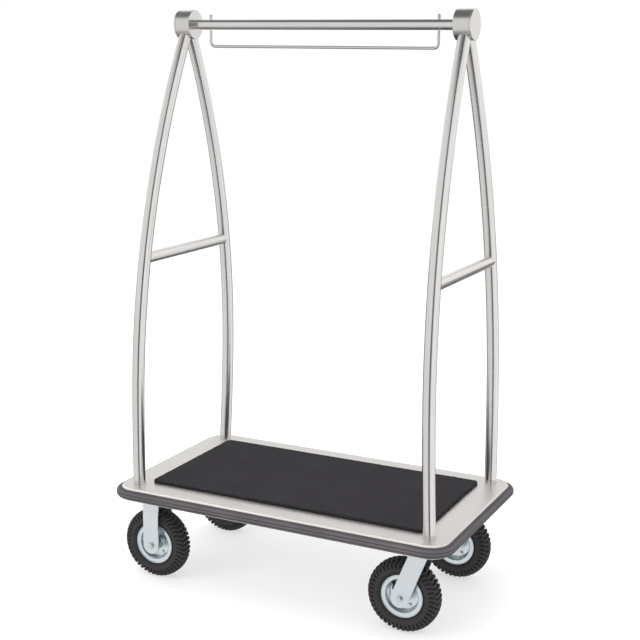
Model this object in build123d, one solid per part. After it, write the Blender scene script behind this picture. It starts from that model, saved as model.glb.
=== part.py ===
from build123d import *
import math
import os

# Hotel luggage cart: steel tray deck with a carpeted board and a rubber bumper, two bowed
# end frames that meet under round hubs, a top bar with a hanger rail, two rigid casters at
# the -X end and two swivel casters at the +X end.
# Frame: millimetres, +X towards the swivel casters, -Y the front long side, +Z up, with the
# origin on the floor under the middle of the deck.

# ---- driving dimensions ----------------------------------------------------------------

# deck tray, pressed and folded from stainless sheet
deck_length = 1030.0
deck_width = 595.0
deck_sheet = 2.0
deck_corner_radius = 54.0
deck_fold_radius = 6.0
skirt_below_bumper = 4.0
return_lip = 12.0

# subframe of square tube under the tray
rail_size = 35.0
rail_wall = 2.0
rail_end_gap = 35.0
cross_rail_count = 4
pad_length = 120.0
pad_width = 110.0
pad_thickness = 5.0

# bumper
bumper_height = 28.0
bumper_projection = 16.5
bumper_nose_flat = 7.0
bumper_shoulder = 5.0
bumper_cheek_share = 0.66
bumper_groove_radius = 1.2
bumper_groove_offset = 4.5
strip_thickness = 5.0
strip_height_inside = 11.0
strip_height_outside = 15.0
rivet_radius = 2.0
rivet_head_radius = 4.0
rivet_head_height = 1.5
rivets_per_side = 6
rivets_per_end = 3

# carpeted board
carpet_end_gap = 9.2
carpet_side_gap = 4.7
carpet_height = 10.0
carpet_corner_radius = 16.0
carpet_edge_radius = 3.0
carpet_wrap = 3.5
carpet_pile = 4.0

# bowed uprights
upright_diameter = 35.0
upright_wall = 1.5
upright_inset_x = 55.0
upright_inset_y = 49.5
upright_bow = 8.0
upright_bow_height = 285.0
upright_mitre_gap = 0.3
collar_height = 12.0
collar_margin = 0.8
collar_chamfer = 0.6
plug_length = 45.0
upright_bolt_radius = 6.0
upright_bolt_depth = 34.0

# end rails between the uprights
end_rail_diameter = 32.0
end_rail_wall = 1.5
end_rail_height = 675.0

# hubs and top bar
hub_height = 1331.0
hub_lean_in = 33.0
hub_diameter = 82.0
hub_length = 50.0
hub_wall = 3.0
hub_web = 10.0
hub_cap_thickness = 5.0
hub_cap_spigot = 4.0
hub_chamfer = 0.8
bar_diameter = 28.0
bar_wall = 1.5
bar_seat = 4.0
bar_plug_length = 30.0
tie_bolt_radius = 5.0
tie_washer_radius = 14.0
tie_washer_thickness = 2.0

# hanger rail
hanger_diameter = 8.0
hanger_thread_diameter = 6.0
hanger_end_gap = 52.0
hanger_drop = 61.0
hanger_bend_radius = 12.0
hanger_nut_height = 13.5
hanger_neck_radius = 4.0
hanger_neck_height = 4.5
hanger_nut_radius = 5.0

# wheels
wheel_diameter = 211.0
tyre_width = 58.0
tyre_wall = 6.5
tyre_shoulder_drop = 6.5
tyre_shoulder_width = 48.0
rim_flange_radius = 62.0
rim_seat_radius = 50.0
rim_half_width = 21.0
rim_sheet = 2.0
rim_seat_width = 11.0
rim_well_drop = 4.5
rim_well_half_width = 5.0
rim_bend_radius = 3.0
rim_roll_radius = 1.6
rim_disc_hole_radius = 13.0
rim_bolt_circle = 34.0
rim_bolt_count = 4
rim_bolt_first_angle = -60.0
rim_bolt_radius = 3.0

# wheel bearings, 15 x 35 x 11
bearing_outer_radius = 17.5
bearing_bore_radius = 7.5
bearing_width = 11.0
bearing_ball_share = 0.3
bearing_ball_count = 7
bearing_ring_share = 0.26
bearing_shield = 0.6
bearing_shield_gap = 0.2

# casters
caster_inset_x = 87.0
caster_inset_y = 93.0
caster_trail = 52.0
tyre_to_crown_gap = 25.5
fork_sheet = 5.0
fork_half_inside = 35.0
fork_leg_radius = 26.0
fork_bend_radius = 9.0
crown_margin = 2.0
plate_length = 110.0
plate_width = 95.0
plate_thickness = 5.0
plate_corner_radius = 8.0
plate_hole_radius = 4.5
plate_bolt_radius = 4.0
plate_bolt_spacing_x = 80.0
plate_bolt_spacing_y = 60.0
race_height = 4.0
race_gap = 4.0
race_outer_radius = 34.0
race_margin = 7.0
race_ball_radius = 3.5
race_ball_count = 14
kingpin_radius = 6.0
kingpin_head_radius = 11.0
kingpin_nut_gap = 0.3
axle_radius = 5.0
axle_washer_radius = 10.5
axle_washer_thickness = 2.0

# clearances
running_clearance = 0.05
axle_clearance = 0.15
bolt_clearance = 0.5
thin_step = 1.0

# ---- sizes that follow ------------------------------------------------------------------

wheel_radius = wheel_diameter / 2
crown_bottom_z = wheel_diameter + tyre_to_crown_gap
crown_top_z = crown_bottom_z + fork_sheet
race_bottom_z = crown_top_z + race_gap
plate_bottom_z = race_bottom_z + race_height
caster_top_z = plate_bottom_z + plate_thickness
pad_top_z = caster_top_z + pad_thickness
sheet_bottom_z = pad_top_z + rail_size
deck_z = sheet_bottom_z + deck_sheet
bumper_top_z = deck_z - deck_fold_radius
bumper_mid_z = bumper_top_z - bumper_height / 2
skirt_bottom_z = bumper_top_z - bumper_height - skirt_below_bumper

half_length = deck_length / 2
half_width = deck_width / 2
caster_x = half_length - caster_inset_x
caster_y = half_width - caster_inset_y

upright_radius = upright_diameter / 2
upright_bore = upright_radius - upright_wall
collar_radius = upright_radius + collar_margin
upright_x = half_length - upright_inset_x
upright_y = half_width - upright_inset_y
hub_z = deck_z + hub_height
hub_radius = hub_diameter / 2
hub_centre_x = upright_x - hub_lean_in
hub_inner_x = hub_centre_x - hub_length / 2
hub_outer_x = hub_centre_x + hub_length / 2
bar_radius = bar_diameter / 2
bar_bore = bar_radius - bar_wall
lean_angle = math.degrees(math.atan2(hub_lean_in, hub_height))
frame_height = math.hypot(hub_height, hub_lean_in)
bow_y = upright_y + upright_bow
rise_above_bow = frame_height - upright_bow_height
lower_bow_radius = (upright_bow**2 + upright_bow_height**2) / (2 * upright_bow)
upper_bow_radius = (bow_y**2 + rise_above_bow**2) / (2 * bow_y)

axle_sleeve_bore = axle_radius + axle_clearance
bearing_height = bearing_outer_radius - bearing_bore_radius
bearing_pitch_radius = (bearing_outer_radius + bearing_bore_radius) / 2
bearing_ball_radius = bearing_ball_share * bearing_height
bearing_outer_land = bearing_outer_radius - bearing_ring_share * bearing_height
bearing_inner_land = bearing_bore_radius + bearing_ring_share * bearing_height

race_pitch_radius = race_outer_radius - race_margin
crown_half_length = race_outer_radius + crown_margin

bolt_head_ratio = 1.75
bolt_head_height_ratio = 0.65
nut_height_ratio = 0.9

ends = {"left": -1, "right": 1}
sides = {"front": -1, "rear": 1}


# ---- building blocks --------------------------------------------------------------------


def block(x0, x1, y0, y1, z0, z1):
    """Box between two corners."""
    return Pos((x0 + x1) / 2, (y0 + y1) / 2, (z0 + z1) / 2) * Box(x1 - x0, y1 - y0, z1 - z0)


def rod_x(x0, x1, y, z, radius):
    """Cylinder along X."""
    return Pos((x0 + x1) / 2, y, z) * Rot(0, 90, 0) * Cylinder(radius, x1 - x0)


def rod_y(x, y0, y1, z, radius):
    """Cylinder along Y."""
    return Pos(x, (y0 + y1) / 2, z) * Rot(90, 0, 0) * Cylinder(radius, y1 - y0)


def rod_z(x, y, z0, z1, radius):
    """Cylinder along Z."""
    return Pos(x, y, (z0 + z1) / 2) * Cylinder(radius, z1 - z0)


def rounded_plate(length, width, radius, z0, z1):
    """Flat plate with round corners, centred on the Z axis."""
    return Pos(0, 0, z0) * extrude(RectangleRounded(length, width, radius), z1 - z0)


def hexagon(radius, height):
    """Hexagon prism from z = 0 upwards, with its points at the given radius."""
    return extrude(RegularPolygon(radius, 6), height)


def bolt(shank_radius, shank_length):
    """Hex bolt on the Z axis: its head hangs below z = 0 and its shank stands above."""
    head = hexagon(shank_radius * bolt_head_ratio, shank_radius * 2 * bolt_head_height_ratio)
    shank = rod_z(0, 0, 0, shank_length, shank_radius)
    return Pos(0, 0, -shank_radius * 2 * bolt_head_height_ratio) * head + shank


def nut(thread_radius):
    """Hex nut on the Z axis from z = 0 upwards, with its threaded hole."""
    height = thread_radius * 2 * nut_height_ratio
    return hexagon(thread_radius * bolt_head_ratio, height) - rod_z(0, 0, 0, height, thread_radius)


def turned(profile):
    """Solid of revolution about Y of a face whose X is the radius and Y the axle direction."""
    return revolve(profile, Axis.Y)


def strip(radius0, radius1, along0, along1):
    """Rectangle of a turned profile."""
    centre = Pos((radius0 + radius1) / 2, (along0 + along1) / 2)
    return centre * Rectangle(radius1 - radius0, along1 - along0)


def save(name, *solids):
    """Writes one named piece, or one group of like pieces, as a STEP file."""
    found = [solid for shape in solids for solid in shape.solids()]
    group = found[0] if len(found) == 1 else Compound(children=found)
    group.label = name
    export_step(group, f"parts/{name}.step")


# ---- deck -------------------------------------------------------------------------------


def deck_outline(inset):
    """Rounded rectangle of the tray, a given distance inside its outer face."""
    radius = deck_corner_radius - inset
    return RectangleRounded(deck_length - 2 * inset, deck_width - 2 * inset, radius)


def deck_pan():
    """Tray: flat top, round folded edge, straight skirt and a return lip at the bottom."""
    depth = deck_z - skirt_bottom_z
    outer = Pos(0, 0, skirt_bottom_z) * extrude(deck_outline(0), depth)
    outer = fillet(outer.faces().sort_by(Axis.Z)[-1].edges(), deck_fold_radius)
    inner_depth = depth - 2 * deck_sheet
    inner = Pos(0, 0, skirt_bottom_z + deck_sheet) * extrude(deck_outline(deck_sheet), inner_depth)
    inner = fillet(inner.faces().sort_by(Axis.Z)[-1].edges(), deck_fold_radius - deck_sheet)
    mouth = Pos(0, 0, skirt_bottom_z) * extrude(deck_outline(deck_sheet + return_lip), deck_sheet)
    pan = outer - inner - mouth
    for end in ends.values():
        for side in sides.values():
            hole = upright_bolt_radius + bolt_clearance
            pan -= rod_z(end * upright_x, side * upright_y, sheet_bottom_z, deck_z, hole)
    return pan - rivets()


def rivet_places():
    """Position along X and Y and outward angle of each bumper rivet."""
    places = []
    straight_x = deck_length - 2 * deck_corner_radius
    straight_y = deck_width - 2 * deck_corner_radius
    for side in sides.values():
        for i in range(rivets_per_side):
            x = straight_x * ((i + 0.5) / rivets_per_side - 0.5)
            places.append((x, side * half_width, 90 * side))
    for end in ends.values():
        for i in range(rivets_per_end):
            y = straight_y * ((i + 0.5) / rivets_per_end - 0.5)
            places.append((end * half_length, y, 0 if end > 0 else 180))
    return places


def rivets():
    """Rivets through the skirt and the bumper strip, headed inside and flush outside."""
    body = rod_x(-deck_sheet, strip_thickness, 0, 0, rivet_radius)
    head = rod_x(-deck_sheet - rivet_head_height, -deck_sheet, 0, 0, rivet_head_radius)
    rivet = body + head
    return [Pos(x, y, bumper_mid_z) * Rot(0, 0, angle) * rivet for x, y, angle in rivet_places()]


def around_deck(section):
    """Sweeps a section, drawn as outward distance and height, round the tray's skirt."""
    path = Pos(0, 0, bumper_mid_z) * deck_outline(0).face().outer_wire()
    along = path % 0
    outward_dir = along.cross(Vector(0, 0, 1))
    if outward_dir.dot(path @ 0) < 0:
        outward_dir = outward_dir * -1
    start = Plane(origin=path @ 0, x_dir=outward_dir, z_dir=along)
    return sweep(start * section, path)


def strip_section():
    """Dovetail section of the bumper's retaining strip."""
    near = strip_height_inside / 2
    far = strip_height_outside / 2
    return make_face(
        Polyline((0, -near), (0, near), (strip_thickness, far), (strip_thickness, -far), close=True)
    )


def bumper_section():
    """D section of the rubber bumper, with two grooves along its nose and a dovetail slot."""
    half = bumper_height / 2
    nose = bumper_nose_flat / 2
    reach = bumper_projection
    cheek_x = bumper_shoulder + bumper_cheek_share * (reach - bumper_shoulder)
    cheek_y = nose + bumper_cheek_share * (half - nose)
    upper = ThreePointArc((reach, nose), (cheek_x, cheek_y), (bumper_shoulder, half))
    lower = ThreePointArc((reach, -nose), (cheek_x, -cheek_y), (bumper_shoulder, -half))
    back = Polyline((bumper_shoulder, half), (0, half), (0, -half), (bumper_shoulder, -half))
    front = Line((reach, -nose), (reach, nose))
    face = make_face([upper, back, lower, front])
    for height in (-bumper_groove_offset, bumper_groove_offset):
        face -= Pos(reach, height) * Circle(bumper_groove_radius)
    return face - strip_section()


# ---- carpeted board ---------------------------------------------------------------------


def carpet_parts():
    """Board and its carpet, which wraps over the top and the edges."""
    length = 2 * (upright_x - collar_radius - carpet_end_gap)
    width = 2 * (upright_y - collar_radius - carpet_side_gap)
    board_top_z = deck_z + carpet_height - carpet_pile
    board = rounded_plate(
        length - 2 * carpet_wrap,
        width - 2 * carpet_wrap,
        carpet_corner_radius - carpet_wrap,
        deck_z,
        board_top_z,
    )
    cover = rounded_plate(length, width, carpet_corner_radius, deck_z, deck_z + carpet_height)
    cover = fillet(cover.faces().sort_by(Axis.Z)[-1].edges(), carpet_edge_radius)
    return board, cover - board


# ---- subframe ---------------------------------------------------------------------------


def square_tube(length):
    """Square tube along X, centred on the origin."""
    inner = rail_size - 2 * rail_wall
    return Box(length, rail_size, rail_size) - Box(length, inner, inner)


def side_rails():
    """Two long rails over the casters."""
    z = pad_top_z + rail_size / 2
    length = deck_length - 2 * rail_end_gap
    return [Pos(0, side * caster_y, z) * square_tube(length) for side in sides.values()]


def cross_rails():
    """Rails between the long rails, the outer two over the casters."""
    z = pad_top_z + rail_size / 2
    length = 2 * caster_y - rail_size
    step = 2 * caster_x / (cross_rail_count - 1)
    tube = Rot(0, 0, 90) * square_tube(length)
    return [Pos(-caster_x + i * step, 0, z) * tube for i in range(cross_rail_count)]


def plate_bolt_places(x, y):
    """Centres of the four bolts of a caster plate."""
    dx = plate_bolt_spacing_x / 2
    dy = plate_bolt_spacing_y / 2
    return [(x + i * dx, y + j * dy) for i in (-1, 1) for j in (-1, 1)]


def drilled_plate(x, y, length, width, z0, z1):
    """Flat plate with the caster bolt holes."""
    plate = Pos(x, y, 0) * rounded_plate(length, width, plate_corner_radius, z0, z1)
    for hole_x, hole_y in plate_bolt_places(x, y):
        plate -= rod_z(hole_x, hole_y, z0, z1, plate_hole_radius)
    return plate


def caster_places():
    """End, side and plate centre of each caster."""
    corners = [(end, side) for end in ends for side in sides]
    return [(end, side, ends[end] * caster_x, sides[side] * caster_y) for end, side in corners]


def caster_pads():
    """Pads welded under the rails, one over each caster."""
    return [
        drilled_plate(x, y, pad_length, pad_width, caster_top_z, pad_top_z)
        for _, _, x, y in caster_places()
    ]


def caster_plate_fasteners():
    """Bolts from below each caster plate, with nuts on top of the pad."""
    grip = plate_thickness + pad_thickness
    nut_height = 2 * plate_bolt_radius * nut_height_ratio
    shank = grip + nut_height + thin_step
    solids = []
    for _, _, x, y in caster_places():
        for hole_x, hole_y in plate_bolt_places(x, y):
            solids.append(Pos(hole_x, hole_y, plate_bottom_z) * bolt(plate_bolt_radius, shank))
            solids.append(Pos(hole_x, hole_y, pad_top_z) * nut(plate_bolt_radius))
    return solids


# ---- end frames -------------------------------------------------------------------------


def bow_path():
    """Centre line of an upright in its own plane: tangent start, outward bow, inward sweep."""
    foot_angle = math.asin(upright_bow_height / lower_bow_radius)
    lower_centre = bow_y - lower_bow_radius
    upper_centre = bow_y - upper_bow_radius
    top_angle = math.asin(rise_above_bow / upper_bow_radius)

    def lower(angle):
        y = lower_centre + lower_bow_radius * math.cos(angle)
        return (0, y, upright_bow_height + lower_bow_radius * math.sin(angle))

    def upper(angle):
        y = upper_centre + upper_bow_radius * math.cos(angle)
        return (0, y, upright_bow_height + upper_bow_radius * math.sin(angle))

    foot = Vector(lower(-foot_angle))
    tangent = Vector(0, math.sin(foot_angle), math.cos(foot_angle))
    below = foot - tangent * collar_height * 2
    return Wire(
        [
            Line(below, foot).edge(),
            ThreePointArc(foot, lower(-foot_angle / 2), lower(0)).edge(),
            ThreePointArc(upper(0), upper(top_angle / 2), upper(top_angle)).edge(),
        ]
    )


def bow_solid(radius, end, side):
    """Round bar of a given radius along one upright's centre line, in its place on the cart."""
    path = bow_path()
    start = Plane(origin=path @ 0, z_dir=path % 0)
    bar = sweep(start * Circle(radius), path)
    if side < 0:
        bar = bar.mirror(Plane.XZ)
    return Pos(end * upright_x, 0, deck_z) * Rot(0, -end * lean_angle, 0) * bar


def bow_offset_y(height):
    """Distance of an upright's centre line from the middle plane, a given height above the deck."""
    rise = height / math.cos(math.radians(lean_angle)) - upright_bow_height
    return bow_y - upper_bow_radius + math.sqrt(upper_bow_radius**2 - rise**2)


def across(y0, y1, z0, z1):
    """Block over the whole length of the cart between two widths and two heights."""
    return block(-deck_length, deck_length, y0, y1, z0, z1)


def upright(end, side):
    """Bowed tube from its collar to the hub, mitred at the middle plane where it meets its twin."""
    tube = bow_solid(upright_radius, end, side) - bow_solid(upright_bore, end, side)
    near = side * upright_mitre_gap
    far = side * deck_width
    tube &= across(min(near, far), max(near, far), deck_z + collar_height, hub_z)
    reach = hub_length * 2
    return tube - rod_x(end * hub_centre_x - reach, end * hub_centre_x + reach, 0, hub_z, hub_radius)


def upright_plug(end, side):
    """Threaded plug welded into an upright's foot, standing on the deck."""
    plug = bow_solid(upright_bore, end, side)
    plug &= across(-deck_width, deck_width, deck_z, deck_z + plug_length)
    x = end * upright_x
    y = side * upright_y
    return plug - rod_z(x, y, deck_z, deck_z + upright_bolt_depth, upright_bolt_radius)


def end_rail(end):
    """Cross tube between the two uprights of one end, notched to fit round them."""
    y = bow_offset_y(end_rail_height)
    x = end * (upright_x - math.tan(math.radians(lean_angle)) * end_rail_height)
    z = deck_z + end_rail_height
    rail = rod_y(x, -y, y, z, end_rail_diameter / 2)
    rail -= rod_y(x, -y, y, z, end_rail_diameter / 2 - end_rail_wall)
    for side in sides.values():
        rail -= bow_solid(upright_radius, end, side)
    return rail


def collar(end, side, plug):
    """Ring between the deck and one upright's foot."""
    x = end * upright_x
    y = side * upright_y
    ring = rod_z(x, y, deck_z, deck_z + collar_height, collar_radius)
    ring = chamfer(ring.edges().sort_by(Axis.Z)[-1], collar_chamfer)
    return ring - plug - rod_z(x, y, deck_z, deck_z + collar_height, upright_bolt_radius)


def upright_bolt(end, side):
    """Bolt from under the deck into an upright's plug."""
    length = deck_sheet + upright_bolt_depth
    return Pos(end * upright_x, side * upright_y, sheet_bottom_z) * bolt(upright_bolt_radius, length)


# ---- hubs, top bar and hanger rail -------------------------------------------------------


def outward(end, x0, x1, radius):
    """Cylinder on the top bar's axis between two distances from the middle of the cart."""
    return rod_x(min(end * x0, end * x1), max(end * x0, end * x1), 0, hub_z, radius)


def hub_shell(end):
    """Turned cup: its web seats the top bar and its open end takes the cap."""
    cap_x = hub_outer_x - hub_cap_thickness
    body = outward(end, hub_inner_x, cap_x, hub_radius)
    body = chamfer(body.edges().filter_by(GeomType.CIRCLE), hub_chamfer)
    body -= outward(end, hub_inner_x + hub_web, cap_x, hub_radius - hub_wall)
    body -= outward(end, hub_inner_x, hub_inner_x + bar_seat, bar_radius)
    return body - outward(end, hub_inner_x, hub_inner_x + hub_web, tie_bolt_radius + bolt_clearance)


def hub_cap(end):
    """Flat end cap with a spigot pressed into the shell."""
    cap_x = hub_outer_x - hub_cap_thickness
    disc = outward(end, cap_x, hub_outer_x, hub_radius)
    disc = chamfer(disc.edges().filter_by(GeomType.CIRCLE), hub_chamfer)
    return disc + outward(end, cap_x - hub_cap_spigot, cap_x, hub_radius - hub_wall)


def hanger_x():
    """Distance of the hanger rail's legs from the middle of the cart."""
    return hub_inner_x - hanger_end_gap


def top_bar():
    """Tube between the hubs, drilled for the hanger rail."""
    half = hub_inner_x + bar_seat
    bar = rod_x(-half, half, 0, hub_z, bar_radius) - rod_x(-half, half, 0, hub_z, bar_bore)
    rod_hole = hanger_diameter / 2 + running_clearance
    thread_hole = hanger_thread_diameter / 2 + running_clearance
    for end in ends.values():
        x = end * hanger_x()
        bar -= rod_z(x, 0, hub_z - bar_diameter, hub_z, rod_hole)
        bar -= rod_z(x, 0, hub_z, hub_z + bar_diameter, thread_hole)
    return bar


def bar_plug(end):
    """Threaded plug welded into one end of the top bar."""
    face = hub_inner_x + bar_seat
    plug = outward(end, face - bar_plug_length, face, bar_bore)
    return plug - outward(end, face - bar_plug_length, face, tie_bolt_radius)


def tie_bolt(end):
    """Bolt and washer inside a hub that pull the top bar into its seat."""
    web_x = hub_inner_x + hub_web
    washer_x = web_x + tie_washer_thickness
    length = hub_web - bar_seat + tie_washer_thickness + bar_plug_length
    turn = Rot(0, -end * 90, 0)
    screw = Pos(end * washer_x, 0, hub_z) * turn * bolt(tie_bolt_radius, length)
    washer = outward(end, web_x, washer_x, tie_washer_radius)
    return screw, washer - outward(end, web_x, washer_x, tie_bolt_radius)


def hanger_rail():
    """Bent rod under the top bar, with a thinner threaded end through the bar at each leg."""
    x = hanger_x()
    low = hub_z - hanger_drop
    shoulder = hub_z + bar_bore - thin_step
    line = FilletPolyline(
        (-x, 0, shoulder), (-x, 0, low), (x, 0, low), (x, 0, shoulder), radius=hanger_bend_radius
    )
    start = Plane(origin=line @ 0, z_dir=line % 0)
    rail = sweep(start * Circle(hanger_diameter / 2), line)
    thread_top = hub_z + bar_radius + hanger_nut_height - hanger_nut_radius
    for end in ends.values():
        rail += rod_z(end * x, 0, shoulder, thread_top, hanger_thread_diameter / 2)
    return rail


def hanger_nut(end):
    """Domed nut with a narrow neck that sits on the top bar."""
    base = hub_z
    neck_top = hub_z + bar_radius + hanger_neck_height
    top = hub_z + bar_radius + hanger_nut_height
    x = end * hanger_x()
    body = rod_z(x, 0, base, neck_top, hanger_neck_radius)
    dome_z = top - hanger_nut_radius
    body += rod_z(x, 0, neck_top, dome_z, hanger_nut_radius)
    body += Pos(x, 0, dome_z) * Sphere(hanger_nut_radius)
    body -= rod_z(x, 0, base, dome_z, hanger_thread_diameter / 2)
    return body - rod_x(x - bar_diameter, x + bar_diameter, 0, hub_z, bar_radius)


# ---- wheels, built round the Y axis at the origin ----------------------------------------


def tyre():
    """Pneumatic tyre: open section with two beads on the rim seats."""
    bead = rim_half_width - rim_sheet
    half = tyre_width / 2
    bulge_radius = (rim_flange_radius + wheel_radius) / 2
    shoulder_radius = wheel_radius - tyre_shoulder_drop
    shoulder = tyre_shoulder_width / 2
    wall = tyre_wall
    outer = [
        Line((rim_seat_radius, bead), (rim_flange_radius, bead)),
        ThreePointArc((rim_flange_radius, bead), (bulge_radius, half), (shoulder_radius, shoulder)),
        ThreePointArc((shoulder_radius, shoulder), (wheel_radius, 0), (shoulder_radius, -shoulder)),
        ThreePointArc((shoulder_radius, -shoulder), (bulge_radius, -half), (rim_flange_radius, -bead)),
        Line((rim_flange_radius, -bead), (rim_seat_radius, -bead)),
    ]
    toe = bead - wall
    inner_shoulder = (shoulder_radius - wall, shoulder - wall)
    inner_bulge_radius = (rim_flange_radius + inner_shoulder[0]) / 2
    inner = [
        Line((rim_seat_radius, -bead), (rim_seat_radius, -toe)),
        Line((rim_seat_radius, -toe), (rim_flange_radius, -toe)),
        ThreePointArc(
            (rim_flange_radius, -toe),
            (inner_bulge_radius, wall - half),
            (inner_shoulder[0], -inner_shoulder[1]),
        ),
        ThreePointArc(
            (inner_shoulder[0], -inner_shoulder[1]), (wheel_radius - wall, 0), inner_shoulder
        ),
        ThreePointArc(inner_shoulder, (inner_bulge_radius, half - wall), (rim_flange_radius, toe)),
        Line((rim_flange_radius, toe), (rim_seat_radius, toe)),
        Line((rim_seat_radius, toe), (rim_seat_radius, bead)),
    ]
    return turned(make_face(outer + inner))


def rim_bolt_places():
    """X and Z of each bolt through the rim discs."""
    places = []
    for i in range(rim_bolt_count):
        angle = math.radians(rim_bolt_first_angle + 360 * i / rim_bolt_count)
        places.append((rim_bolt_circle * math.cos(angle), rim_bolt_circle * math.sin(angle)))
    return places


def rim_half(outer_side):
    """Pressed half rim: bearing cup, bolted disc, dropped well, tyre seat and rolled flange."""
    seat = rim_seat_radius
    well = seat - rim_well_drop
    seat_start = rim_half_width - rim_seat_width
    well_end = rim_well_half_width
    flange = rim_half_width - rim_sheet
    cup = bearing_outer_radius + rim_sheet
    barrel = make_face(
        Polyline(
            (well - rim_sheet, 0),
            (well, 0),
            (well, well_end - rim_sheet / 2),
            (seat, seat_start - rim_sheet / 2),
            (seat, rim_half_width),
            (seat - rim_sheet, rim_half_width),
            (seat - rim_sheet, seat_start + rim_sheet / 2),
            (well - rim_sheet, well_end + rim_sheet / 2),
            close=True,
        )
    )
    profile = strip(rim_disc_hole_radius, well, 0, rim_sheet) + barrel
    profile += strip(bearing_outer_radius, cup, 0, rim_sheet + bearing_width)
    profile += strip(seat - rim_sheet, rim_flange_radius, flange, rim_half_width)
    disc_corner = profile.vertices().sort_by_distance((well - rim_sheet, rim_sheet, 0))[0]
    lip_corner = profile.vertices().sort_by_distance((seat - rim_sheet, rim_half_width, 0))[0]
    cup_corner = profile.vertices().sort_by_distance((cup, rim_sheet, 0))[0]
    profile = fillet([disc_corner, lip_corner, cup_corner], rim_bend_radius)
    profile += Pos(rim_flange_radius - rim_roll_radius, rim_half_width) * Circle(rim_roll_radius)
    rim = turned(profile)
    for x, z in rim_bolt_places():
        rim -= rod_y(x, 0, rim_sheet, z, rim_bolt_radius)
    return rim if outer_side > 0 else rim.mirror(Plane.XZ)


def rim_fasteners(outer_side):
    """Bolts through both discs, with heads on the outer side and nuts on the inner side."""
    grip = 2 * rim_sheet
    nut_height = 2 * rim_bolt_radius * nut_height_ratio
    solids = []
    for x, z in rim_bolt_places():
        screw = Pos(x, outer_side * rim_sheet, z) * Rot(outer_side * 90, 0, 0)
        solids.append(screw * bolt(rim_bolt_radius, grip + nut_height + thin_step))
        back = Pos(x, -outer_side * rim_sheet, z) * Rot(outer_side * 90, 0, 0)
        solids.append(back * nut(rim_bolt_radius))
    return solids


def bearing_groove():
    """Ring-shaped space that the balls run in, round Y at the origin."""
    groove = Circle(bearing_ball_radius + running_clearance)
    return turned(Pos(bearing_pitch_radius, 0) * groove)


def bearing_offsets():
    """Distance of each bearing's middle from the middle of the wheel."""
    offset = rim_sheet + bearing_width / 2
    return (-offset, offset)


def bearing_outer_parts():
    """Outer rings with their shields, and the balls, which turn with the wheel."""
    half = bearing_width / 2
    ring = turned(strip(bearing_outer_land, bearing_outer_radius, -half, half)) - bearing_groove()
    shield_bore = bearing_inner_land + bearing_shield_gap
    shield = turned(strip(shield_bore, bearing_outer_land, half - bearing_shield, half))
    ball = Pos(bearing_pitch_radius, 0, 0) * Sphere(bearing_ball_radius)
    solids = []
    for offset in bearing_offsets():
        place = Pos(0, offset, 0)
        facing = shield if offset > 0 else shield.mirror(Plane.XZ)
        solids.append(place * (ring + facing))
        for i in range(bearing_ball_count):
            solids.append(place * Rot(0, 360 * i / bearing_ball_count, 0) * ball)
    return solids


def axle_sleeve():
    """Spacer sleeve between the fork legs, with the two inner rings pressed on it."""
    half = bearing_width / 2
    sleeve = turned(strip(axle_sleeve_bore, bearing_bore_radius, -fork_half_inside, fork_half_inside))
    ring = turned(strip(bearing_bore_radius, bearing_inner_land, -half, half)) - bearing_groove()
    return [sleeve] + [Pos(0, offset, 0) * ring for offset in bearing_offsets()]


def axle_fasteners(outer_side):
    """Axle bolt with its head on the outer leg, its nut on the inner leg, and their washers."""
    leg = fork_half_inside + fork_sheet
    stand = leg + axle_washer_thickness
    nut_height = 2 * axle_radius * nut_height_ratio
    turn = Rot(outer_side * 90, 0, 0)
    length = 2 * stand + nut_height + 2 * thin_step
    screw = Pos(0, outer_side * stand, 0) * turn * bolt(axle_radius, length)
    back = Pos(0, -outer_side * stand, 0) * turn * nut(axle_radius)
    washer = turned(strip(axle_radius, axle_washer_radius, leg, stand))
    return [screw, back, washer, washer.mirror(Plane.XZ)]


# ---- casters ----------------------------------------------------------------------------


def fork_channel(top_z):
    """Long U channel: its web under a height and its legs down past the axle."""
    half = fork_half_inside + fork_sheet
    bottom = wheel_radius - fork_leg_radius
    length = 2 * (caster_trail + crown_half_length + fork_leg_radius)
    outer = block(-length, length, -half, half, bottom, top_z)
    outer = fillet(outer.edges().filter_by(Axis.X).group_by(Axis.Z)[-1], fork_bend_radius)
    inner = block(-length, length, -fork_half_inside, fork_half_inside, bottom, top_z - fork_sheet)
    inner = fillet(inner.edges().filter_by(Axis.X).group_by(Axis.Z)[-1], fork_bend_radius - fork_sheet)
    return outer - inner


def leg_outline(axle_x, top_z):
    """Side view of a leg: a strap from the crown to a round end about the axle."""
    width = 2 * fork_leg_radius
    strap = make_hull(
        [
            *(Pos(axle_x, wheel_radius) * Circle(fork_leg_radius)).edges(),
            *(Pos(0, top_z - fork_sheet / 2) * Rectangle(width, fork_sheet)).edges(),
        ]
    )
    deep = fork_half_inside + fork_sheet + thin_step
    return extrude(Plane.XZ * strap, deep, both=True)


def axle_hole(axle_x):
    """Hole for the axle bolt through both legs."""
    deep = fork_half_inside + fork_sheet
    return rod_y(axle_x, -deep, deep, wheel_radius, axle_radius)


def rigid_fork():
    """Rigid caster bracket: drilled top plate and welded U bracket."""
    shape = fork_channel(plate_bottom_z) & leg_outline(0, plate_bottom_z)
    plate = drilled_plate(0, 0, plate_length, plate_width, plate_bottom_z, caster_top_z)
    return shape + plate - axle_hole(0)


def race_groove(z):
    """Ring-shaped space that the swivel balls run in."""
    groove = turned(Pos(race_pitch_radius, 0) * Circle(race_ball_radius + running_clearance))
    return Pos(0, 0, z) * Rot(90, 0, 0) * groove


def ball_z():
    """Height of the swivel balls' centres."""
    return crown_top_z + race_gap / 2


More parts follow.
